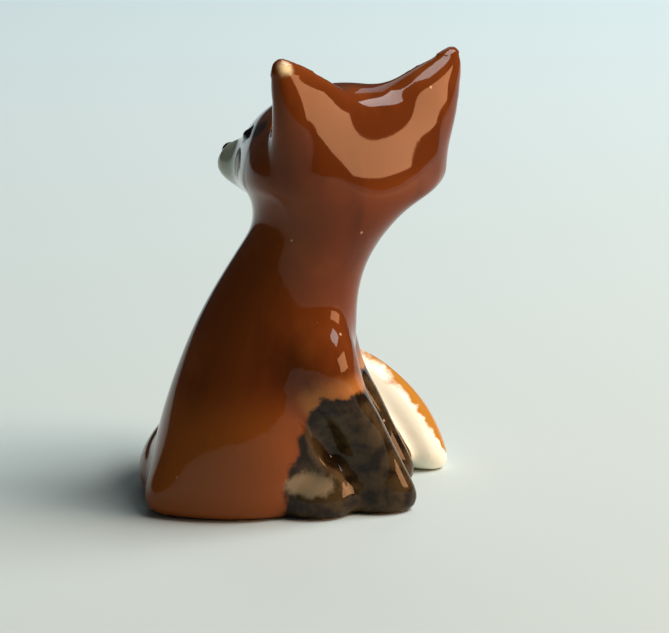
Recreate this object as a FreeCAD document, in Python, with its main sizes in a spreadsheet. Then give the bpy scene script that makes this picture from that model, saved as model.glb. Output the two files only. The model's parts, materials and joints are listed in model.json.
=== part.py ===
"""Glazed china fox figurine, sitting, looking back over its left shoulder.

The figurine is slip-cast in separate pieces.  The potter sticks them together with slip
while the clay is damp, and one firing turns them into one body of china: a hollow trunk,
a head, two ears, two front legs, two hind feet and a brush.

Lengths are millimetres.  +X is the way the trunk faces, +Y is the fox's left side and
+Z is up.  The origin is the middle of the flat foot that the figurine stands on.
"""

import FreeCAD
import Part
import math
import os

from FreeCAD import Vector

PARTS_FOLDER = "parts"

# Name, length in millimetres or angle in degrees, meaning
SIZES = [
    ("body_height", 30.0, "foot to the throat"),
    ("body_length", 21.0, "chest to rump at the haunches"),
    ("body_width", 18.6, "across the haunches"),
    ("cast_wall", 2.2, "thickness of the cast wall"),
    ("drain_hole", 3.0, "diameter of the hole that the slip drains through"),
    ("head_length", 28.0, "back of the skull to the nose"),
    ("head_width", 23.0, "across the cheeks"),
    ("head_depth", 14.5, "crown to jaw"),
    ("head_turn_angle", 130.0, "turn of the head to the left"),
    ("head_roll_angle", 3.0, "tilt of the head towards its right ear"),
    ("ear_height", 8.1, "middle of the ear's root to its tip"),
    ("ear_width", 10.0, "across the ear"),
    ("ear_depth", 5.4, "front to back of the ear's root"),
    ("ear_wall", 1.3, "thickness of the ear behind its hollow"),
    ("ear_rake_angle", 6.0, "lean of each ear backwards"),
    ("leg_height", 21.0, "foot to the top of the shoulder"),
    ("leg_depth", 8.8, "front to back of the shoulder"),
    ("leg_width", 8.0, "inside to outside of the shoulder"),
    ("foot_length", 8.0, "hind foot, heel to toe"),
    ("foot_width", 5.4, "across the hind foot"),
    ("foot_height", 4.4, "top of the hind foot"),
    ("tail_height", 14.2, "brush at its tallest"),
    ("tail_thickness", 8.0, "brush at its thickest"),
    ("overrun", 2.0, "how far a cutting tool runs past the clay"),
]

# Each row is one ring of the trunk: its height as a share of body_height, its back and
# front edges as shares of body_length, its half width as a share of body_width, how far its
# rear and front corners are filled out, and its turn with the head as a share of that turn.
BODY_RING_SHARES = [
    (-0.060, -0.420, 0.440, 0.400, 0.20, -0.08, 0.00),
    (0.000, -0.480, 0.500, 0.448, 0.20, -0.08, 0.00),
    (0.033, -0.510, 0.520, 0.476, 0.20, -0.08, 0.00),
    (0.117, -0.500, 0.530, 0.498, 0.16, -0.08, 0.00),
    (0.207, -0.471, 0.520, 0.510, 0.10, -0.06, 0.00),
    (0.333, -0.424, 0.510, 0.494, 0.05, -0.04, 0.00),
    (0.467, -0.362, 0.522, 0.444, 0.00, 0.00, 0.00),
    (0.600, -0.286, 0.533, 0.386, 0.00, 0.00, 0.00),
    (0.733, -0.190, 0.543, 0.342, 0.00, 0.00, 0.00),
    (0.867, -0.076, 0.600, 0.324, 0.00, 0.00, 0.05),
    (0.967, 0.010, 0.700, 0.335, 0.00, 0.00, 0.13),
    (1.043, 0.075, 0.800, 0.320, 0.00, 0.00, 0.20),
    (1.117, 0.260, 0.720, 0.220, 0.00, 0.00, 0.25),
]
CAVITY_TOP_SHARE = 0.80
# The drain hole, behind the middle of the foot, as a share of the trunk's length.
DRAIN_PLACE_SHARE = -0.21

# One ring of the head: its place along the head as a share of head_length, its half width
# as a share of head_width, its widest level, top and bottom as shares of head_depth, and
# how far its lower corners are filled out.
HEAD_RING_SHARES = [
    (-0.196, 0.200, -0.130, 0.080, -0.300, 0.00),
    (-0.165, 0.330, -0.150, 0.230, -0.370, -0.05),
    (-0.105, 0.435, -0.165, 0.400, -0.420, -0.12),
    (-0.030, 0.490, -0.170, 0.475, -0.450, -0.15),
    (0.060, 0.500, -0.175, 0.492, -0.475, -0.16),
    (0.161, 0.465, -0.190, 0.470, -0.485, -0.14),
    (0.300, 0.370, -0.210, 0.385, -0.485, -0.08),
    (0.430, 0.265, -0.230, 0.260, -0.480, -0.04),
    (0.520, 0.195, -0.245, 0.135, -0.470, 0.00),
    (0.595, 0.155, -0.255, 0.010, -0.450, 0.00),
    (0.670, 0.130, -0.258, -0.065, -0.420, 0.00),
    (0.725, 0.100, -0.260, -0.130, -0.380, 0.00),
]
# Where the back of the skull and the nose close, along the head and up it.
HEAD_BACK_SHARES = (-0.205, -0.110)
NOSE_SHARES = (0.765, -0.262)
# The middle of the head from the origin, as shares of the trunk's length, width and height.
HEAD_PLACE_SHARES = (0.533, 0.032, 1.217)

# One ring of an ear: its height as a share of ear_height, its inner and outer edges as
# shares of ear_width, its half depth and forward bend as shares of ear_depth, and the
# width of its hollow as a share of the ring's own width.
EAR_RING_SHARES = [
    (-0.620, -0.250, 0.180, 0.380, 0.000, 0.00),
    (-0.430, -0.370, 0.370, 0.460, 0.000, 0.00),
    (-0.222, -0.450, 0.460, 0.490, 0.000, 0.72),
    (0.077, -0.474, 0.510, 0.490, 0.000, 0.72),
    (0.375, -0.423, 0.544, 0.460, 0.020, 0.72),
    (0.593, -0.258, 0.567, 0.410, 0.050, 0.72),
    (0.728, -0.055, 0.580, 0.360, 0.080, 0.72),
    (0.851, 0.174, 0.580, 0.290, 0.110, 0.72),
    (0.946, 0.339, 0.555, 0.190, 0.130, 0.72),
]
# The tip of an ear, outwards and forwards.
EAR_TIP_SHARES = (0.440, 0.140)
# The middle of an ear's root from the middle of the head, as shares of the head's sizes.
EAR_PLACE_SHARES = (-0.043, 0.300, 0.200)

# One ring of a front leg: its height as a share of leg_height, its front edge as a share of
# body_length, its depth as a share of leg_depth, its outer edge as a share of body_width
# and its width as a share of leg_width.
LEG_RING_SHARES = [
    (-0.080, 0.771, 0.600, 0.308, 0.400),
    (0.000, 0.809, 0.770, 0.338, 0.510),
    (0.038, 0.833, 0.870, 0.361, 0.600),
    (0.095, 0.833, 0.860, 0.361, 0.600),
    (0.152, 0.809, 0.780, 0.354, 0.575),
    (0.229, 0.771, 0.700, 0.345, 0.525),
    (0.357, 0.709, 0.678, 0.359, 0.583),
    (0.486, 0.648, 0.750, 0.398, 0.723),
    (0.595, 0.591, 0.872, 0.437, 0.888),
    (0.714, 0.552, 0.980, 0.457, 1.000),
    (0.833, 0.524, 0.994, 0.432, 0.982),
    (0.943, 0.476, 0.738, 0.333, 0.650),
]
# The top of the shoulder, forwards and outwards, as shares of the trunk's length and width.
LEG_TOP_SHARES = (0.333, 0.206)

# Half the height of a hind foot's oval, as a share of the foot's own.  The ground cuts off the rest.
FOOT_OVAL_SHARE = 0.62
# The toes and the outside of a hind foot, as shares of the trunk's length and width.
FOOT_PLACE_SHARES = (0.530, 0.468)

# One ring of the brush: the inner line that lies along the flank, as shares of body_length
# and body_width, the way the brush runs there as a share of a half turn, its height and
# thickness as shares of tail_height and tail_thickness, and the share of its height that
# the ground cuts off.
TAIL_RING_SHARES = [
    (-0.210, -0.108, 0.680, 0.400, 0.550, 0.20),
    (-0.319, 0.110, 0.570, 0.460, 0.640, 0.20),
    (-0.271, 0.290, 0.370, 0.540, 0.740, 0.16),
    (-0.176, 0.387, 0.200, 0.690, 0.850, 0.12),
    (0.014, 0.452, 0.080, 0.880, 0.960, 0.08),
    (0.240, 0.462, 0.000, 1.000, 1.000, 0.06),
    (0.488, 0.438, -0.055, 0.970, 1.000, 0.06),
    (0.705, 0.392, -0.100, 0.740, 0.900, 0.06),
    (0.871, 0.376, -0.130, 0.440, 0.620, 0.08),
    (0.951, 0.403, -0.150, 0.220, 0.340, 0.08),
]
# The tip of the brush, as shares of the trunk's length, its width and tail_height.
TAIL_TIP_SHARES = (1.010, 0.450, 0.092)

RING_POINTS = 12

# Where the seams of the lofts run, in degrees round a ring.  No other piece meets them there.
TRUNK_SEAM = -135
HEAD_SEAM = 90
EAR_SEAM = 90

doc = FreeCAD.newDocument("fox_figurine")
sheet = doc.addObject("Spreadsheet::Sheet", "Sizes")


def fill_sheet():
    """Writes the driving sizes into the spreadsheet, one aliased cell each."""
    for row, (alias, value, meaning) in enumerate(SIZES, start=1):
        sheet.set(f"A{row}", alias)
        sheet.set(f"B{row}", str(value))
        sheet.setAlias(f"B{row}", alias)
        sheet.set(f"C{row}", meaning)
    doc.recompute()


def size(*aliases):
    """The value of one driving size, or a list of several."""
    values = [float(sheet.get(alias)) for alias in aliases]
    return values if len(values) > 1 else values[0]


def bind(thing, **expressions):
    """Ties properties of an object to the driving sizes.  Two underscores stand for a dot."""
    for name, expression in expressions.items():
        thing.setExpression(name.replace("__", "."), expression)
    return thing


def closed_curve(points):
    """A smooth closed wire through a ring's points, with a knot at each."""
    curve = Part.BSplineCurve()
    curve.interpolate(Points=points, PeriodicFlag=True, Parameters=range(RING_POINTS + 1))
    return Part.Wire([curve.toShape()])


def ring_angles(seam):
    """Bearings of a ring's points.  The seam of the loft runs through the first of them."""
    return [math.radians(seam) + 2 * math.pi * i / RING_POINTS for i in range(RING_POINTS)]


def level_ring(height, back, front, inner, outer, seam=0, fill=(0, 0), turn=0):
    """A horizontal oval between four edges, with filled corners at the back and the front."""
    middle = Vector((back + front) / 2, (inner + outer) / 2, height)
    along, across = (front - back) / 2, (outer - inner) / 2
    points = []
    for a in ring_angles(seam):
        swell = 1 + fill[math.cos(a) > 0] * math.sin(2 * a) ** 2
        x, y = swell * along * math.cos(a), swell * across * math.sin(a)
        cos_turn, sin_turn = math.cos(turn), math.sin(turn)
        points.append(middle + Vector(x * cos_turn - y * sin_turn, x * sin_turn + y * cos_turn, 0))
    return closed_curve(points)


def upright_ring(middle, heading, half_width, up, down, seam=0, fill=0):
    """An oval that stands across a heading, with filled corners below its middle."""
    aside = Vector(-math.sin(heading), math.cos(heading), 0)
    points = []
    for a in ring_angles(seam):
        upper = math.sin(a) > 0
        swell = 1 if upper else 1 + fill * math.sin(2 * a) ** 2
        rise = swell * (up if upper else down) * math.sin(a)
        points.append(middle + aside * (swell * half_width * math.cos(a)) + Vector(0, 0, rise))
    return closed_curve(points)


def closing_point(name, place):
    point = doc.addObject("Part::Vertex", name)
    point.X, point.Y, point.Z = place.x, place.y, place.z
    return point


def loft(name, wires, start=None, end=None):
    """A solid lofted through the wires, drawn to a point where start or end is given."""
    sections = []
    if start is not None:
        sections.append(closing_point(name + "_start", start))
    for number, wire in enumerate(wires, start=1):
        ring = doc.addObject("Part::Feature", f"{name}_ring_{number}")
        ring.Shape = wire
        sections.append(ring)
    if end is not None:
        sections.append(closing_point(name + "_end", end))
    solid = doc.addObject("Part::Loft", name)
    solid.Sections = sections
    solid.Solid = True
    solid.Ruled = False
    return solid


def cut(name, base, *tools):
    """What is left of a form once the forms that it is luted to are taken out of it."""
    for number, tool in enumerate(tools, start=1):
        result = doc.addObject("Part::Cut", f"{name}_cut_{number}")
        result.Base = base
        result.Tool = tool
        base = result
    base.Label = name
    return base


def ground_block():
    """What lies below the level that the figurine stands on."""
    block = doc.addObject("Part::Box", "ground")
    return bind(
        block,
        Length="4 * Sizes.body_length",
        Width="4 * Sizes.body_length",
        Height="Sizes.body_height",
        Placement__Base__x="-2 * Sizes.body_length",
        Placement__Base__y="-2 * Sizes.body_length",
        Placement__Base__z="-Sizes.body_height",
    )


def trunk_ring(shares, wall, floor):
    """One ring of the trunk, drawn in by the wall and raised with the floor of the hollow."""
    rise, back, front, half, rear_fill, front_fill, turn = shares
    height, length, width = size("body_height", "body_length", "body_width")
    return level_ring(
        floor + rise * (height - floor),
        back * length + wall,
        front * length - wall,
        wall - half * width,
        half * width - wall,
        TRUNK_SEAM,
        (rear_fill, front_fill),
        math.radians(turn * size("head_turn_angle")),
    )


def trunk():
    """The outside of the trunk.  It runs up into the head."""
    return loft("trunk", [trunk_ring(shares, 0, 0) for shares in BODY_RING_SHARES])


def cavity():
    """The hollow that the slip drained from."""
    wall = size("cast_wall")
    rings = [shares for shares in BODY_RING_SHARES if 0 <= shares[0] <= CAVITY_TOP_SHARE]
    return loft("cavity", [trunk_ring(shares, wall, wall) for shares in rings])


def drain():
    """The hole through the foot."""
    hole = doc.addObject("Part::Cylinder", "drain")
    return bind(
        hole,
        Radius="Sizes.drain_hole / 2",
        Height="Sizes.cast_wall + 2 * Sizes.overrun",
        Placement__Base__x=f"{DRAIN_PLACE_SHARE} * Sizes.body_length",
        Placement__Base__z="-Sizes.overrun",
    )


def head_placement():
    forward, aside, rise = HEAD_PLACE_SHARES
    return (
        f"create(<<placement>>; create(<<vector>>; {forward} * Sizes.body_length;"
        f" {aside} * Sizes.body_width; {rise} * Sizes.body_height);"
        " create(<<rotation>>; Sizes.head_turn_angle; 0; Sizes.head_roll_angle))"
    )


def head():
    """Skull, cheeks and muzzle in one loft along the head, turned over the left shoulder."""
    length, width, depth = size("head_length", "head_width", "head_depth")
    wires = []
    for along, half, widest, top, bottom, fill in HEAD_RING_SHARES:
        middle = Vector(along * length, 0, widest * depth)
        up, down = (top - widest) * depth, (widest - bottom) * depth
        wires.append(upright_ring(middle, 0, half * width, up, down, HEAD_SEAM, fill))
    back, nose = [
        Vector(along * length, 0, rise * depth) for along, rise in (HEAD_BACK_SHARES, NOSE_SHARES)
    ]
    return bind(loft("head_form", wires, back, nose), Placement=head_placement())


def ear_placement(side):
    back, aside, rise = EAR_PLACE_SHARES
    return (
        f"{head_placement()} * create(<<placement>>;"
        f" create(<<vector>>; {back} * Sizes.head_length; {side * aside} * Sizes.head_width;"
        f" {rise} * Sizes.head_depth); create(<<rotation>>; 0; -Sizes.ear_rake_angle; 0))"
    )


def ear(name, side):
    """One ear and the tool that hollows its front.  The side is 1 for left, -1 for right."""
    height, width, depth = size("ear_height", "ear_width", "ear_depth")
    outside, hollow = [], []
    for rise, inner, outer, half_depth, bend, hollow_width in EAR_RING_SHARES:
        edges = sorted((side * inner * width, side * outer * width))
        back, front = (bend - half_depth) * depth, (bend + half_depth) * depth
        outside.append(level_ring(rise * height, back, front, *edges, side * EAR_SEAM))
        if hollow_width:
            middle = (edges[0] + edges[1]) / 2
            edges = [middle + hollow_width * (edge - middle) for edge in edges]
            back, front = back + size("ear_wall"), front + size("overrun")
            hollow.append(level_ring(rise * height, back, front, *edges, side * EAR_SEAM))
    outwards, forwards = EAR_TIP_SHARES
    tip = Vector(forwards * depth, side * outwards * width, height)
    forms = loft(name + "_form", outside, end=tip), loft(name + "_hollow", hollow)
    return [bind(form, Placement=ear_placement(side)) for form in forms]


def front_leg(name, side):
    """Shoulder, leg and paw in one loft of level rings."""
    height, depth, width = size("leg_height", "leg_depth", "leg_width")
    body_length, body_width = size("body_length", "body_width")
    wires = []
    for rise, front_share, depth_share, outer_share, width_share in LEG_RING_SHARES:
        front, outer = front_share * body_length, outer_share * body_width
        back, inner = front - depth_share * depth, outer - width_share * width
        edges = sorted((side * inner, side * outer))
        wires.append(level_ring(rise * height, back, front, *edges))
    forwards, outwards = LEG_TOP_SHARES
    top = Vector(forwards * body_length, side * outwards * body_width, height)
    return loft(name + "_form", wires, end=top)


def hind_foot(name, side):
    """A low oval foot that runs down into the ground."""
    toes, outside = FOOT_PLACE_SHARES
    foot = doc.addObject("Part::Ellipsoid", name + "_form")
    return bind(
        foot,
        Radius1=f"{FOOT_OVAL_SHARE} * Sizes.foot_height",
        Radius2="Sizes.foot_length / 2",
        Radius3="Sizes.foot_width / 2",
        Placement__Base__x=f"{toes} * Sizes.body_length - Sizes.foot_length / 2",
        Placement__Base__y=f"{side} * ({outside} * Sizes.body_width - Sizes.foot_width / 2)",
        Placement__Base__z=f"{1 - FOOT_OVAL_SHARE} * Sizes.foot_height",
    )


def tail():
    """The brush: it leaves the rump, lies along the left flank and ends beside the paws."""
    body_length, body_width = size("body_length", "body_width")
    height, thickness = size("tail_height", "tail_thickness")
    wires = []
    for forwards, aside, bearing, high, thick, sunk in TAIL_RING_SHARES:
        heading = bearing * math.pi
        half_high, half_thick = high * height / 2, thick * thickness / 2
        flank = Vector(forwards * body_length, aside * body_width, half_high - sunk * high * height)
        outwards = Vector(-math.sin(heading), math.cos(heading), 0)
        middle = flank + outwards * half_thick
        wires.append(upright_ring(middle, heading, half_thick, half_high, half_high))
    forwards, aside, rise = TAIL_TIP_SHARES
    tip = Vector(forwards * body_length, aside * body_width, rise * height)
    return loft("tail_form", wires, end=tip)


def build():
    """Lutes the castings together and returns them."""
    fill_sheet()
    trunk_form, head_form = trunk(), head()
    head_form.Label = "head"
    ground = ground_block()
    pieces = [cut("body", trunk_form, ground, head_form, cavity(), drain()), head_form]
    for side_name, side in (("left", 1), ("right", -1)):
        ear_form, ear_hollow = ear(side_name + "_ear", side)
        pieces.append(cut(side_name + "_ear", ear_form, ear_hollow, head_form))
        foot_form = hind_foot(side_name + "_hind_foot", side)
        pieces.append(cut(side_name + "_hind_foot", foot_form, ground, trunk_form))
        leg_form = front_leg(side_name + "_front_leg", side)
        pieces.append(cut(side_name + "_front_leg", leg_form, ground, foot_form, trunk_form))
    pieces.append(cut("tail", tail(), ground, trunk_form))
    doc.recompute()
    return pieces


def check(pieces):
    """Stops if an object of the document failed or a casting isn't one valid solid."""
    for thing in doc.Objects:
        if {"Invalid", "Error"} & set(thing.State):
            raise RuntimeError(f"{thing.Name}: {thing.State}")
    for piece in pieces:
        shape = piece.Shape
        if shape.isNull() or not shape.isValid() or len(shape.Solids) != 1:
            raise RuntimeError(f"{piece.Label} isn't one valid solid")


def export(pieces):
    os.makedirs(PARTS_FOLDER, exist_ok=True)
    for piece in pieces:
        piece.Shape.exportStep(os.path.join(PARTS_FOLDER, piece.Label + ".step"))
        print(f"{piece.Label}: {piece.Shape.Volume:.1f} mm3")


castings = build()
check(castings)
export(castings)
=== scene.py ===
"""Glazed china fox that sits and looks back over its left shoulder.  Lengths are metres."""

import json
import math

import bpy
import numpy as np
from mathutils import Matrix, Vector
from mathutils.bvhtree import BVHTree

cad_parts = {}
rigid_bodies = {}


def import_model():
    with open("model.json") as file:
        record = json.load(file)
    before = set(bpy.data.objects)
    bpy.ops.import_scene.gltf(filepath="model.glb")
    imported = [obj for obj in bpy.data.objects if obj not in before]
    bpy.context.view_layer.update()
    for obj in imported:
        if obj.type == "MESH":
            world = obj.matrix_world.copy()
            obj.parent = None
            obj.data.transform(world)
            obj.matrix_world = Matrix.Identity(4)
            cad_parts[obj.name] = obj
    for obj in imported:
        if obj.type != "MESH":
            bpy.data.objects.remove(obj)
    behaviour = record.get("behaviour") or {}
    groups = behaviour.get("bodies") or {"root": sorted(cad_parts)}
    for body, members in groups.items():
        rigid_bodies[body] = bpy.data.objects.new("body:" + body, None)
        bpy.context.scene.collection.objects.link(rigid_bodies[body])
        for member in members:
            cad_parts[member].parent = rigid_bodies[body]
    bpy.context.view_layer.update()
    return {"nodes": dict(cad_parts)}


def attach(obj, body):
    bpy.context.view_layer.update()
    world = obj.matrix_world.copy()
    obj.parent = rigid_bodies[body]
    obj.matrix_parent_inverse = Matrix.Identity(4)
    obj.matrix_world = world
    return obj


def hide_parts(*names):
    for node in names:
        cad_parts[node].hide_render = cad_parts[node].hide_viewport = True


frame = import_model()

MM = 0.001
# Voxels of the finished skin, of the upper clay before it, and of the two softest fillings.
FINE = 0.26 * MM
MEDIUM = 0.25 * MM
COARSE = 0.3 * MM
COARSEST = 0.35 * MM
# Points of a casting nearer than this are one point.
SAME_POINT = 0.001 * MM
# Wipes of the sponge after a filling.
SPONGE_WIPES = 6

# The head from its middle: the way the face looks, towards the left cheek, and up.
HEAD_TURN = math.radians(130)
HEAD_MIDDLE = Vector((11.19, 0.6, 36.5)) * MM
FACE = Vector((math.cos(HEAD_TURN), math.sin(HEAD_TURN), 0))
LEFT_CHEEK = Vector((-math.sin(HEAD_TURN), math.cos(HEAD_TURN), 0))
UP = Vector((0, 0, 1))


def on_head(forward, left, up):
    """A place on the head, from its middle, in millimetres."""
    return HEAD_MIDDLE + (FACE * forward + LEFT_CHEEK * left + UP * up) * MM


# ---- clay ----


def pick(*things):
    """Selects these objects alone and makes the last one active."""
    bpy.ops.object.select_all(action="DESELECT")
    for thing in things:
        thing.select_set(True)
    bpy.context.view_layer.objects.active = things[-1]


def apply_modifier(thing, kind, **settings):
    """Gives a thing a modifier and applies it."""
    modifier = thing.modifiers.new(kind, kind)
    for name, value in settings.items():
        setattr(modifier, name, value)
    pick(thing)
    bpy.ops.object.modifier_apply(modifier=modifier.name)


def copy_of(*names):
    """A copy of these castings as one mesh, in the clay."""
    pick(*[frame["nodes"][name] for name in names])
    bpy.ops.object.duplicate()
    bpy.ops.object.parent_clear(type="CLEAR_KEEP_TRANSFORM")
    if len(names) > 1:
        bpy.ops.object.join()
    form = bpy.context.object
    for key in list(form.keys()):
        del form[key]
    form.data.materials.clear()
    bpy.ops.object.mode_set(mode="EDIT")
    bpy.ops.mesh.select_all(action="SELECT")
    bpy.ops.mesh.remove_doubles(threshold=SAME_POINT)
    bpy.ops.object.mode_set(mode="OBJECT")
    return form


def twin(form):
    """Another copy of a form."""
    pick(form)
    bpy.ops.object.duplicate()
    return bpy.context.object


def weld(form, *others):
    """Puts other forms into this one."""
    pick(*others, form)
    bpy.ops.object.join()
    return form


def fuse(form, voxel, smooth):
    """One even skin round everything in the form, then a wipe with a wet sponge."""
    apply_modifier(form, "REMESH", mode="VOXEL", voxel_size=voxel)
    apply_modifier(form, "SMOOTH", factor=0.5, iterations=smooth)


def fill_creases(form, radius, voxel):
    """Rounds the inside corners of a form to a radius in millimetres, as sponge and glaze do."""
    for swell in (radius, -radius):
        apply_modifier(form, "DISPLACE", strength=swell * MM, mid_level=0)
        fuse(form, voxel, SPONGE_WIPES)


def keep_outer_shell(form):
    """Drops the inside of the hollow trunk."""
    pick(form)
    bpy.ops.object.mode_set(mode="EDIT")
    bpy.ops.mesh.select_all(action="SELECT")
    bpy.ops.mesh.separate(type="LOOSE")
    bpy.ops.object.mode_set(mode="OBJECT")
    shells = sorted(bpy.context.selected_objects, key=lambda shell: len(shell.data.vertices))
    outer = shells.pop()
    for shell in shells:
        bpy.data.objects.remove(shell)
    return outer


def slice_off(form, point, normal):
    """Cuts away what lies on the normal's side of a plane, and closes the cut."""
    pick(form)
    bpy.ops.object.mode_set(mode="EDIT")
    bpy.ops.mesh.select_all(action="SELECT")
    bpy.ops.mesh.bisect(plane_co=point, plane_no=normal, clear_outer=True, use_fill=True)
    bpy.ops.object.mode_set(mode="OBJECT")


def choose_points(form, wanted):
    """Selects the points of a form that pass a test, and stays in edit mode."""
    pick(form)
    bpy.ops.object.mode_set(mode="EDIT")
    bpy.ops.mesh.select_mode(type="VERT")
    bpy.ops.mesh.select_all(action="DESELECT")
    bpy.ops.object.mode_set(mode="OBJECT")
    for vertex in form.data.vertices:
        vertex.select = wanted(vertex.co)
    bpy.ops.object.mode_set(mode="EDIT")


def paddle(form, point, normal, keep):
    """Pats flat what stands beyond a plane, to this share of its rise."""
    choose_points(form, lambda place: (place - point).dot(normal) > 0)
    bpy.ops.transform.resize(
        value=(1, 1, keep),
        orient_type="GLOBAL",
        orient_matrix=normal.to_track_quat("Z", "Y").to_matrix(),
        orient_matrix_type="GLOBAL",
        center_override=point,
    )
    bpy.ops.object.mode_set(mode="OBJECT")


# How far the sheet behind the ears leans, where it lies on the head, and how flat it is patted.
BACK_LEAN = math.radians(15)
BACK_PLACE = (-4.7, 0, -1.3)
BACK_SHARE = 0.4
# The radii that soften the clay between the ears, at the nape and over the neck.
EARS_RADIUS, NAPE_RADIUS, NECK_RADIUS = 4.0, 8.0, 3.0
# Where the softened copies end: forwards for the sheet, then upwards and forwards for the nape.
SHEET_FRONT, NAPE_TOP, NAPE_FRONT, NAPE_CROWN = 1.0, 7.0, -1.0, 3.0


def crown():
    """Head and ears, with one dished sheet of clay behind them from ear to ear."""
    skull = copy_of("head", "left_ear", "right_ear")
    fuse(skull, MEDIUM, 2)
    behind = UP * math.sin(BACK_LEAN) - FACE * math.cos(BACK_LEAN)
    paddle(skull, on_head(*BACK_PLACE), behind, BACK_SHARE)
    back = twin(skull)
    fill_creases(back, EARS_RADIUS, COARSE)
    slice_off(back, on_head(SHEET_FRONT, 0, 0), FACE)
    return weld(skull, back)


def trunk_and_head():
    """The trunk runs up into the back of the head without an edge."""
    upper = weld(keep_outer_shell(copy_of("body")), crown())
    fuse(upper, MEDIUM, 2)
    nape = twin(upper)
    slice_off(nape, on_head(0, 0, NAPE_TOP), UP)
    fill_creases(nape, NAPE_RADIUS, COARSEST)
    slice_off(nape, on_head(NAPE_FRONT, 0, 0), FACE)
    slice_off(nape, on_head(0, 0, NAPE_CROWN), UP)
    weld(upper, nape)
    fuse(upper, MEDIUM, 4)
    fill_creases(upper, NECK_RADIUS, MEDIUM)
    return upper


def ball(middle, radii, turn=None):
    """A ball of clay, stretched along its own three axes, in millimetres."""
    bpy.ops.object.select_all(action="DESELECT")
    bpy.ops.mesh.primitive_uv_sphere_add(segments=32, ring_count=20, radius=1, location=middle)
    clay = bpy.context.object
    clay.scale = [radius * MM for radius in radii]
    if turn is not None:
        clay.rotation_euler = turn.to_euler()
    bpy.ops.object.transform_apply(location=True, rotation=True, scale=True)
    return clay


def coil(points, radii):
    """A roll of clay along a line of points, as thick at each as its radius, in millimetres."""
    bpy.ops.object.select_all(action="DESELECT")
    bpy.ops.curve.primitive_nurbs_path_add()
    roll = bpy.context.object
    spline = roll.data.splines[0]
    spline.points.add(len(points) - len(spline.points))
    for place, radius, point in zip(points, radii, spline.points):
        point.co = (*(Vector(place) * MM), 1)
        point.radius = radius
    spline.use_endpoint_u = True
    spline.order_u = 3
    roll.data.bevel_depth = MM
    roll.data.bevel_resolution = 4
    roll.data.use_fill_caps = True
    bpy.ops.object.convert(target="MESH")
    return bpy.context.object


def carve(form, *tools):
    """Cuts tools out of a form, all in one go."""
    tool = weld(*tools)
    apply_modifier(form, "BOOLEAN", operation="DIFFERENCE", object=tool, solver="EXACT")
    bpy.data.objects.remove(tool)


def head_frame(pitch=0.0, yaw=0.0, roll=0.0):
    """A turn whose axes run forwards, to the left and up on the head, then tipped by angles."""
    turn = Matrix.Rotation(HEAD_TURN, 3, "Z")
    for angle, axis in ((yaw, "Z"), (pitch, "Y"), (roll, "X")):
        turn = turn @ Matrix.Rotation(math.radians(angle), 3, axis)
    return turn


def on_skin(form, place, depth=0.0):
    """The nearest place on a form's skin, or so many millimetres under it."""
    found, skin, normal, face = form.closest_point_on_mesh(place)
    return skin - normal * depth * MM


# The near thigh's front edge, which runs down into the hind foot, and its thickness.
THIGH_EDGE = [
    (5.0, -7.2, 11.0),
    (5.9, -7.3, 9.6),
    (6.3, -7.2, 7.2),
    (7.6, -6.9, 5.4),
    (9.3, -6.7, 4.2),
    (10.1, -6.9, 2.6),
]
THIGH_EDGE_RADII = [1.0, 0.8, 0.7, 0.65, 0.6, 0.5]
# The valley between the near thigh and the shoulder, and its width.
THIGH_VALLEY = [
    (1.5, -9.3, 18.5),
    (2.9, -9.2, 16.0),
    (5.0, -9.0, 12.9),
    (6.9, -8.2, 10.2),
    (7.6, -7.4, 8.0),
]
THIGH_VALLEY_RADII = [1.5, 1.6, 1.5, 1.2, 0.9]
# The heights between which the shoulders are softened, and the radii there and below.
SHOULDER_BOTTOM, SHOULDER_TOP = 12, 26
SHOULDER_RADIUS, JOIN_RADIUS = 4.0, 0.8


def on_side(side, points):
    """The near side's points, moved to this side: 1 for the left, -1 for the near right."""
    return [(x, -side * y, z) for x, y, z in points]


def limbs(fox):
    """Legs, feet and brush luted on, with a softer join at the shoulders than below."""
    castings = ("left_front_leg", "right_front_leg", "left_hind_foot", "right_hind_foot", "tail")
    weld(fox, copy_of(*castings))
    for side in (1, -1):
        weld(fox, coil(on_side(side, THIGH_EDGE), THIGH_EDGE_RADII))
    fuse(fox, FINE, 4)
    for side in (1, -1):
        carve(fox, coil(on_side(side, THIGH_VALLEY), THIGH_VALLEY_RADII))
    shoulders = twin(fox)
    fill_creases(shoulders, SHOULDER_RADIUS, COARSE)
    slice_off(shoulders, Vector((0, 0, SHOULDER_BOTTOM * MM)), -UP)
    slice_off(shoulders, Vector((0, 0, SHOULDER_TOP * MM)), UP)
    weld(fox, shoulders)
    fuse(fox, FINE, 2)
    fill_creases(fox, JOIN_RADIUS, FINE)


# Places on the head, or on the fox, and radii of what is set in or cut out, in millimetres.
MUZZLE_BACK = 6.0
NOSE_PLACE, NOSE_RADII = (20.9, 0, -2.6), (1.0, 1.3, 0.9)
CUP_PLACE, CUP_RADII, CUP_LIFT = (3.0, 9.0, 7.2), (1.7, 2.3, 3.6), 0.5
CUP_ROLL, CUP_PITCH = 30, -6
EYE_PLACE, EYE_RADII, EYE_DEPTH = (10.6, 6.0, 1.4), (1.4, 0.85, 0.7), 0.35
SOCKET_RADII, SOCKET_LIFT = (2.1, 0.8, 0.85), 0.15
TOE_SIDES = (-5.3, -3.9, 3.9, 5.3)
TOE_FORWARD, TOE_HEIGHT, TOE_RADII = 18.0, 1.2, (1.6, 0.24, 1.7)
DRAIN_PLACE, DRAIN_RADII = (-4.4, 0, 0), (1.5, 1.5, 1.6)
# The dark stripe through an eye, from the muzzle to the ear's root, and the way it runs.
EYE_STRIPE = [(13.2, 4.6, -1.0), (5.0, 8.4, 3.0)]
STRIPE_FORWARD, STRIPE_INWARD, STRIPE_DOWN = 8.2, 3.8, 4.0


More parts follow.
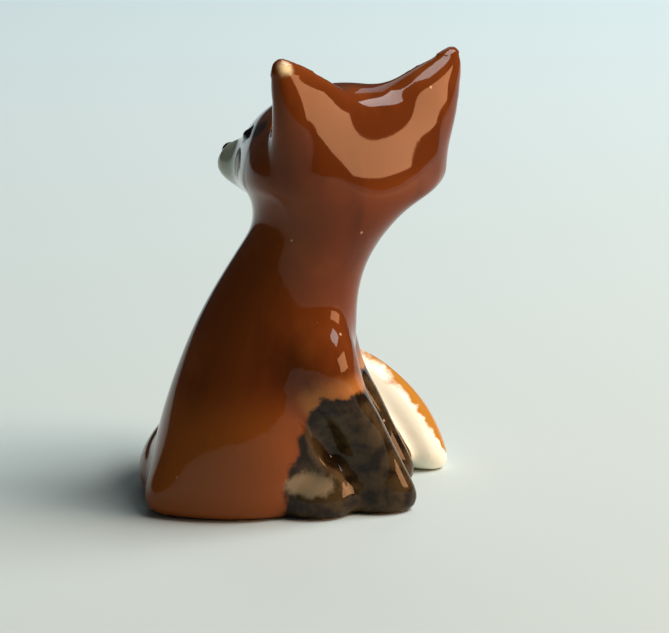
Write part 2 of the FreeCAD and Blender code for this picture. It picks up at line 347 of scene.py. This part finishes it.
def features(fox):
    """Nose, ear cups, eyes, toes and the drain hole.  Gives back where the eyes are."""
    muzzle = copy_of("head")
    slice_off(muzzle, on_head(MUZZLE_BACK, 0, 0), -FACE)
    weld(fox, muzzle, ball(on_head(*NOSE_PLACE), NOSE_RADII, head_frame()))
    fuse(fox, FINE, 3)
    tools, eyes, eye_places = [], [], []
    for side in (1, -1):
        forward, left, up = CUP_PLACE
        cup = on_skin(fox, on_head(forward, left * side, up), -CUP_LIFT)
        tools.append(ball(cup, CUP_RADII, head_frame(roll=-CUP_ROLL * side, pitch=CUP_PITCH)))
        stripe = FACE * STRIPE_FORWARD - LEFT_CHEEK * STRIPE_INWARD * side - UP * STRIPE_DOWN
        slant = stripe.to_track_quat("X", "Z").to_matrix()
        forward, left, up = EYE_PLACE
        eye = on_skin(fox, on_head(forward, left * side, up))
        eye_places.append(eye)
        tools.append(ball(on_skin(fox, eye, -SOCKET_LIFT), SOCKET_RADII, slant))
        eyes.append(ball(on_skin(fox, eye, EYE_DEPTH), EYE_RADII, slant))
    for toe in TOE_SIDES:
        tools.append(ball(Vector((TOE_FORWARD, toe, TOE_HEIGHT)) * MM, TOE_RADII))
    tools.append(ball(Vector(DRAIN_PLACE) * MM, DRAIN_RADII))
    carve(fox, *tools)
    weld(fox, *eyes)
    fuse(fox, FINE, 2)
    return eye_places


# Blocks of the back of the head: front, bottom, top and half width, and the strokes of the wipe.
SHEET_WIPES = [
    (-2.0, -4.0, 6.5, 9.5, 100),
    (-2.5, -3.5, 5.5, 7.5, 140),
    (-0.5, -9.0, 9.5, 15.0, 25),
]


def wipe(form, front, bottom, top, half_width, strokes):
    """Wipes smooth a block of the back of the head, given in millimetres from its middle."""

    def inside(place):
        offset = (place - HEAD_MIDDLE) / MM
        aside = abs(offset.dot(LEFT_CHEEK))
        return offset.dot(FACE) < front and bottom < offset.z < top and aside < half_width

    choose_points(form, inside)
    bpy.ops.mesh.vertices_smooth(factor=0.5, repeat=strokes)
    bpy.ops.object.mode_set(mode="OBJECT")


fox = trunk_and_head()
limbs(fox)
eye_places = features(fox)
for block in SHEET_WIPES:
    wipe(fox, *block)
fox.name = fox.data.name = "fox"
bpy.ops.object.shade_smooth()


# ---- glaze ----


def spread(form, name, values):
    """Keeps one number for each point of a form, for the glazes to read."""
    layer = form.data.attributes.new(name, "FLOAT", "POINT")
    layer.data.foreach_set("value", values)


def distance_to_line(points, start, end):
    """Millimetres from each point to a straight line of brushwork."""
    along = end - start
    share = np.clip((points - start) @ along / (along @ along), 0, 1)
    return np.linalg.norm(points - start - share[:, None] * along, axis=1)


def inside_ball(points, middle, radius, squash=(1, 1, 1)):
    """Millimetres that each point lies inside a ball, or an egg where it is squashed."""
    return radius - np.linalg.norm((points - middle) * squash, axis=1)


def distance_to_casting(form, name):
    """Millimetres from each point of a form to a casting, or many where none is found."""
    casting = BVHTree.FromObject(frame["nodes"][name], bpy.context.evaluated_depsgraph_get())
    found = [casting.find_nearest(vertex.co)[3] for vertex in form.data.vertices]
    return np.array([1 if distance is None else distance for distance in found]) / MM


# Height and place forwards of the edge of the dark glaze on the haunch, in millimetres.
HAUNCH_EDGE = [(0.0, 3.6), (4.6, 3.9), (7.0, 5.0), (9.8, 5.6), (13.2, 7.4), (16.0, 10.0)]
STOCKING_TOP, STOCKING_SLOPE = 13.2, 0.8
# Place forwards and height of the brush's ridge, in millimetres.
RIDGE = [
    (-12.0, 9.0),
    (-6.0, 11.0),
    (0.3, 11.4),
    (5.0, 13.3),
    (10.2, 12.9),
    (14.8, 9.6),
    (18.3, 5.8),
    (20.2, 3.0),
    (21.4, 1.0),
]
RIDGE_TENTHS = 10
# The muzzle's edge on the head: its place, its slope and its lowest point.
MUZZLE_EDGE, MUZZLE_SLOPE, MUZZLE_MIDDLE, MUZZLE_LOW = 14.6, 0.6, 2, 8
STRIPE_HALF_WIDTH, EYE_MARK = 0.95, 1.5
# Where shade is painted in the dish of the sheet behind the ears: its front, its bottom and its half
# width.
DISH_FRONT, DISH_BOTTOM, DISH_HALF_WIDTH = 1, 3, 10
# Middles and radii of the round marks, and how they are squashed.
NOSE_MARK = ((21.3, 0, -2.4), 1.75)
# The foot mark is a painted highlight on top of the near hind foot.
FOOT_HIGHLIGHT_MARK = ((6.3, -7.6, 3.7), 1.9, (0.6, 1, 1.2))
LEFT_TIP_MARK = ((-2.2, 10.8, 10.4), 1.15)
CUP_MARK = ((1.6, 9.2, 7.6), 3.4, (1.1, 1.1, 0.75))


def brushwork(form, eye_places):
    """Marks out on the clay where each glaze is brushed, with the painted reflection, shade and
    highlight, in millimetres inside its edge.
    """
    places = np.empty(len(form.data.vertices) * 3)
    form.data.vertices.foreach_get("co", places)
    places = places.reshape(-1, 3) / MM
    x, y, z = places.T
    head = (places - np.array(HEAD_MIDDLE / MM)) @ np.array([FACE, LEFT_CHEEK, UP]).T
    forward, left, up = head.T
    both_cheeks = head * (1, 0, 1) + np.abs(head) * (0, 1, 0)
    both_flanks = places * (1, 0, 1) - np.abs(places) * (0, 1, 0)

    edge = np.interp(z, *zip(*HAUNCH_EDGE))
    spread(form, "stocking", np.minimum(STOCKING_TOP - z, (x - edge) * STOCKING_SLOPE))
    spread(form, "off_legs", np.minimum(
        distance_to_casting(form, "left_front_leg"), distance_to_casting(form, "right_front_leg")))
    # Painted highlight on top of the near hind foot.
    spread(form, "foot_top_highlight", inside_ball(places, *FOOT_HIGHLIGHT_MARK))
    starts = np.array(THIGH_EDGE)[1:]
    lines = [distance_to_line(both_flanks, *ends) for ends in zip(starts, starts[1:])]
    spread(form, "thigh_edge", np.min(lines, axis=0))
    # Height, for the painted reflection of the pale table, lighter towards the bottom.
    spread(form, "height", z)

    ridge = np.interp(x, *zip(*RIDGE))
    spread(form, "below_ridge", RIDGE_TENTHS * (ridge - z) / ridge)
    spread(form, "brush_tip", x)
    near_tail = np.clip(1 - distance_to_casting(form, "tail"), -1, 1)
    near_body = np.clip(1 - distance_to_casting(form, "body"), 0, 1)
    spread(form, "on_tail", near_tail - near_body * 0.5)

    # Where the muzzle's white is laid on in painted shade.
    spread(form, "muzzle", np.minimum(
        forward - MUZZLE_EDGE - MUZZLE_SLOPE * (up + MUZZLE_MIDDLE), up + MUZZLE_LOW))
    stripe = distance_to_line(both_cheeks, *np.array(EYE_STRIPE))
    spread(form, "eye_stripe", STRIPE_HALF_WIDTH - stripe)
    eyes = [inside_ball(places, np.array(eye / MM), EYE_MARK) for eye in eye_places]
    spread(form, "eye", np.max(eyes, axis=0))
    spread(form, "nose", inside_ball(head, *NOSE_MARK))
    spread(form, "left_tip", inside_ball(head, *LEFT_TIP_MARK))
    spread(form, "cup", inside_ball(both_cheeks, *CUP_MARK))
    # Painted shade in the dish behind the ears.
    dish_shade = np.minimum(-forward - DISH_FRONT, up + DISH_BOTTOM)
    spread(form, "dish_shade", np.minimum(dish_shade, DISH_HALF_WIDTH - np.abs(left)))


brushwork(fox, eye_places)


def node(tree, kind, **settings):
    """A shader node; a setting that begins with input_ goes to the socket of that name."""
    made = tree.nodes.new("ShaderNode" + kind)
    for name, value in settings.items():
        if name.startswith("input_"):
            made.inputs[name.removeprefix("input_")].default_value = value
        else:
            setattr(made, name, value)
    return made


class Glaze:
    """Layers of coloured glaze, each laid on the last through a mask."""

    def __init__(self, name):
        self.material = bpy.data.materials.new(name)
        self.material.use_nodes = True
        self.tree = self.material.node_tree
        self.bsdf = self.tree.nodes["Principled BSDF"]
        self.place = node(self.tree, "TexCoord").outputs["Object"]
        self.colour = None

    def link(self, out, into):
        self.tree.links.new(out, into)

    def noise(self, scale, detail, stretch=(1, 1, 1)):
        """Cloudy variation, so many spots to the millimetre."""
        mapping = node(self.tree, "Mapping", input_Scale=stretch)
        self.link(self.place, mapping.inputs["Vector"])
        cloud = node(
            self.tree, "TexNoise", input_Scale=scale / MM, input_Detail=detail, input_Roughness=0.55)
        self.link(mapping.outputs[0], cloud.inputs["Vector"])
        return cloud.outputs["Fac"]

    def mark(self, name):
        """One of the marks of the brushwork."""
        return node(self.tree, "Attribute", attribute_name=name).outputs["Fac"]

    def maths(self, operation, first, second, third=None):
        """A sum of numbers or outputs."""
        made = node(self.tree, "Math", operation=operation)
        for socket, value in zip(made.inputs, (first, second, third)):
            if value is None:
                continue
            if isinstance(value, (int, float)):
                socket.default_value = value
            else:
                self.link(value, socket)
        return made.outputs[0]

    def ramp(self, value, low, high, top=1.0):
        """Nothing at low, rising softly to top at high."""
        made = node(self.tree, "MapRange", interpolation_type="SMOOTHSTEP")
        self.link(value, made.inputs["Value"])
        sockets = ("From Min", "From Max", "To Min", "To Max")
        for socket, number in zip(sockets, (low, high, 0, top)):
            made.inputs[socket].default_value = number
        return made.outputs[0]

    def ragged(self, name, low, high, wander, scale, stretch=(1, 1, 1)):
        """The inside of a mark, with an edge that wanders as a loaded brush does."""
        shift = self.maths("MULTIPLY_ADD", self.noise(scale, 5.0, stretch), 2 * wander, -wander)
        return self.ramp(self.maths("ADD", self.mark(name), shift), low, high)

    def lay(self, colour, mask=None):
        """Lays a colour over what is there, as far as the mask lets it."""
        if mask is None:
            base = node(self.tree, "RGB")
            base.outputs[0].default_value = (*colour, 1)
            self.colour = base.outputs[0]
            return
        mix = node(self.tree, "Mix", data_type="RGBA")
        self.link(mask, mix.inputs[0])
        self.link(self.colour, mix.inputs[6])
        mix.inputs[7].default_value = (*colour, 1)
        self.colour = mix.outputs[2]

    def pinholes(self, scale, radius, rare):
        """Pale specks where a bubble broke through the glaze, in a few cells of a random net."""
        net = node(self.tree, "TexVoronoi", input_Scale=scale / MM)
        self.link(self.place, net.inputs["Vector"])
        speck = self.ramp(net.outputs["Distance"], radius, 0.5 * radius)
        lot = node(self.tree, "SeparateColor")
        self.link(net.outputs["Color"], lot.inputs[0])
        return self.both(speck, self.ramp(lot.outputs[0], rare, rare + 0.02))

    def both(self, first, second):
        """Where two masks meet."""
        return self.maths("MULTIPLY", first, second)

    def fire(self):
        """Glassy coat over the colours."""
        self.link(self.colour, self.bsdf.inputs["Base Color"])
        for name, value in (
            ("Roughness", 0.55),
            ("Specular IOR Level", 0.0),
            ("Coat Weight", 1.0),
            ("Coat Roughness", 0.05),
            ("Coat IOR", 1.30),
        ):
            self.bsdf.inputs[name].default_value = value
        waves = node(self.tree, "Bump", input_Strength=0.12, input_Distance=0.05 * MM)
        self.link(self.noise(0.35, 3.0), waves.inputs["Height"])
        self.link(waves.outputs[0], self.bsdf.inputs["Coat Normal"])
        return self.material


# Colours of the glazes, and of the painted table reflection, the painted shade in the dish and on
# the muzzle, and the painted highlight on the near hind foot.
CHESTNUT = (0.165, 0.036, 0.0055)
PALE_CHESTNUT = (0.27, 0.070, 0.012)
DEEP_CHESTNUT = (0.070, 0.014, 0.003)
# Lighter chestnut for the painted reflection of the table low on the body.
TABLE_REFLECTION_CHESTNUT = (0.33, 0.085, 0.012)
# Darker chestnut for the painted shade in the dish behind the ears.
DISH_SHADE_CHESTNUT = (0.085, 0.018, 0.0035)
AMBER = (0.50, 0.18, 0.038)
BLACK_BROWN = (0.016, 0.008, 0.0035)
OLIVE_BROWN = (0.075, 0.045, 0.017)
WORN_EDGE = (0.22, 0.13, 0.06)
# Paler brown for the painted highlight on top of the near hind foot.
PAINTED_FOOT_HIGHLIGHT = (0.27, 0.20, 0.115)
ORANGE = (0.50, 0.215, 0.030)
CREAM = (0.98, 0.98, 0.80)
# The muzzle's white glaze in the grey-green of its shade, as painted shade.
MUZZLE_WHITE_IN_SHADE = (0.36, 0.37, 0.28)
STRIPE_BROWN = (0.030, 0.009, 0.0035)
EYE_BLACK = (0.010, 0.007, 0.005)
NOSE_BLACK = (0.012, 0.010, 0.009)
TIP_CREAM = (0.88, 0.72, 0.40)
CUP_TAN = (0.45, 0.25, 0.11)
BARE_CLAY = (0.55, 0.34, 0.20)


def fox_glaze(name):
    """Chestnut all over, dark on the legs, pale on muzzle, brush, ear cups and the left tip; the
    muzzle is laid on in the grey-green of its shade, and there are a painted reflection of the table
    low down, painted shade in the dish behind the ears and a painted highlight on the near hind
    foot.
    """
    glaze = Glaze(name)
    glaze.lay(CHESTNUT)
    glaze.lay(PALE_CHESTNUT, glaze.ramp(glaze.noise(0.12, 3.0), 0.5, 0.75, top=0.5))
    streaks = glaze.noise(0.16, 4.0, stretch=(1, 1, 0.35))
    glaze.lay(DEEP_CHESTNUT, glaze.ramp(streaks, 0.48, 0.72, top=0.6))
    # Painted reflection of the pale table: chestnut laid lighter towards the bottom.
    glaze.lay(TABLE_REFLECTION_CHESTNUT, glaze.ramp(glaze.mark("height"), 15.0, 9.0, top=0.65))
    # Painted shade: darker chestnut in the dish behind the ears.
    glaze.lay(DISH_SHADE_CHESTNUT, glaze.ramp(glaze.mark("dish_shade"), 0.0, 3.0, top=0.6))

    near_leg = glaze.ramp(glaze.mark("off_legs"), 1.6, 0.2, top=0.75)
    above_dark = glaze.ragged("stocking", -2.6, -0.2, wander=0.8, scale=0.5)
    glaze.lay(AMBER, glaze.both(above_dark, near_leg))
    dark = glaze.ragged("stocking", -0.3, 0.3, wander=1.1, scale=0.55)
    off_tail = glaze.ramp(glaze.mark("on_tail"), 0.5, 0.3)
    glaze.lay(BLACK_BROWN, glaze.both(dark, off_tail))
    mottle = glaze.ramp(glaze.noise(0.5, 6.0), 0.34, 0.62, top=0.9)
    thick = glaze.both(glaze.ragged("stocking", 0.3, 1.6, wander=1.0, scale=0.9), mottle)
    glaze.lay(OLIVE_BROWN, glaze.both(thick, off_tail))
    edge = glaze.ramp(glaze.mark("thigh_edge"), 0.7, 0.35, top=0.4)
    glaze.lay(WORN_EDGE, glaze.both(edge, dark))
    # Painted highlight: a paler patch on top of the near hind foot.
    glaze.lay(PAINTED_FOOT_HIGHLIGHT, glaze.ragged("foot_top_highlight", 0.0, 0.8, wander=1.0, scale=0.8))

    off_rump = glaze.ramp(glaze.mark("brush_tip"), -3.0, 6.0)
    brush = glaze.both(glaze.ramp(glaze.mark("on_tail"), 0.35, 0.6), off_rump)
    glaze.lay(ORANGE, brush)
    tip = glaze.ramp(glaze.mark("brush_tip"), 3.0, 10.0)
    strokes = glaze.ragged(
        "below_ridge", -1.6, -0.3, wander=2.4, scale=0.6, stretch=(0.6, 0.6, 1.6))
    glaze.lay(CREAM, glaze.both(glaze.both(brush, strokes), tip))

    # Painted shade: the white muzzle laid on in the grey-green of its shade.
    glaze.lay(MUZZLE_WHITE_IN_SHADE, glaze.ragged("muzzle", -0.6, 0.8, wander=0.9, scale=0.5))
    glaze.lay(STRIPE_BROWN, glaze.ragged("eye_stripe", -0.25, 0.25, wander=0.35, scale=0.8))
    glaze.lay(EYE_BLACK, glaze.ramp(glaze.mark("eye"), 0.0, 0.25))
    glaze.lay(NOSE_BLACK, glaze.ragged("nose", -0.1, 0.2, wander=0.2, scale=1.0))
    glaze.lay(TIP_CREAM, glaze.ragged("left_tip", 0.0, 0.9, wander=0.5, scale=0.7))
    glaze.lay(CUP_TAN, glaze.ragged("cup", 0.0, 1.2, wander=0.5, scale=0.7))
    glaze.lay(BARE_CLAY, glaze.pinholes(scale=0.42, radius=0.085, rare=0.86))
    return glaze.fire()


fox.data.materials.append(fox_glaze("chestnut_glaze"))
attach(fox, "root")
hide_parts(*frame["nodes"])


# ---- studio ----


# The card on the table: its middle, its size, its two colours, darker near and lighter far as
# painted light, and where one turns to the other.
TABLE_MIDDLE, TABLE_SIZE = (0, 0.62, 0), (1.6, 2.0, 1)
TABLE_NEAR_PAINTED_SHADE, TABLE_FAR_PAINTED_LIGHT = (0.575, 0.645, 0.615), (0.74, 0.90, 0.94)
TABLE_TURNS = (-0.10, 0.45)


def table_card(near, far):
    """Matt card, painted lighter and cooler towards the back as painted light."""
    material = bpy.data.materials.new("table_card")
    material.use_nodes = True
    tree = material.node_tree
    bsdf = tree.nodes["Principled BSDF"]
    bsdf.inputs["Roughness"].default_value = 0.9
    bsdf.inputs["Specular IOR Level"].default_value = 0.1
    split = node(tree, "SeparateXYZ")
    tree.links.new(node(tree, "TexCoord").outputs["Object"], split.inputs[0])
    blend = node(tree, "ValToRGB")
    for element, position, colour in zip(blend.color_ramp.elements, (0.0, 1.0), (near, far)):
        element.position = position
        element.color = (*colour, 1)
    reach = node(tree, "MapRange")
    reach.inputs["From Min"].default_value, reach.inputs["From Max"].default_value = TABLE_TURNS
    tree.links.new(split.outputs["Y"], reach.inputs["Value"])
    tree.links.new(reach.outputs[0], blend.inputs[0])
    tree.links.new(blend.outputs[0], bsdf.inputs["Base Color"])
    return material


bpy.ops.mesh.primitive_plane_add(size=1, location=TABLE_MIDDLE)
table = bpy.context.object
table.name = "table"
table.scale = TABLE_SIZE
bpy.ops.object.transform_apply(location=True, rotation=True, scale=True)
table.data.materials.append(table_card(TABLE_NEAR_PAINTED_SHADE, TABLE_FAR_PAINTED_LIGHT))

STUDIO_AIM = Vector((0.011, 0.0, 0.025))
SKY_COLOUR, SKY_STRENGTH = (0.8, 0.88, 0.9, 1), 0.05
CAMERA_PLACE, CAMERA_PITCH = (0.0089, -0.24743, 0.08584), math.radians(75)
CAMERA_LENS, SENSOR_WIDTH, NEAREST = 132.9, 36, 0.01


def soft_panel(name, bearing, rise, distance, width, height, power, colour):
    """A soft panel that faces the fox, at a bearing to the right of the camera's."""
    turn, lift = math.radians(bearing), math.radians(rise)
    level = math.cos(lift)
    way = Vector((math.sin(turn) * level, -math.cos(turn) * level, math.sin(lift)))
    bpy.ops.object.light_add(type="AREA", location=STUDIO_AIM + way * distance)
    lamp = bpy.context.object
    lamp.name = name
    lamp.data.shape = "RECTANGLE"
    lamp.data.size, lamp.data.size_y = width, height
    lamp.data.energy = power
    lamp.data.color = colour
    lamp.rotation_euler = (-way).to_track_quat("-Z", "Y").to_euler()


soft_panel("side_panel", bearing=77.5, rise=12, distance=0.4, width=0.192, height=0.112,
           power=0.85, colour=(1, 0.5, 0.24))
soft_panel("top_panel", bearing=95, rise=54, distance=1.1, width=0.7, height=0.7,
           power=15.0, colour=(1, 0.985, 0.96))
soft_panel("far_panel", bearing=180, rise=42, distance=1.1, width=0.7, height=0.5,
           power=1.2, colour=(0.86, 0.95, 1))

world = bpy.context.scene.world or bpy.data.worlds.new("world")
bpy.context.scene.world = world
world.use_nodes = True
world.node_tree.nodes["Background"].inputs["Color"].default_value = SKY_COLOUR
world.node_tree.nodes["Background"].inputs["Strength"].default_value = SKY_STRENGTH

bpy.ops.object.camera_add(location=CAMERA_PLACE, rotation=(CAMERA_PITCH, 0, 0))
camera = bpy.context.object
camera.data.lens = CAMERA_LENS
camera.data.sensor_width = SENSOR_WIDTH
camera.data.clip_start = NEAREST
bpy.context.scene.camera = camera
bpy.context.scene.view_settings.view_transform = "Standard"
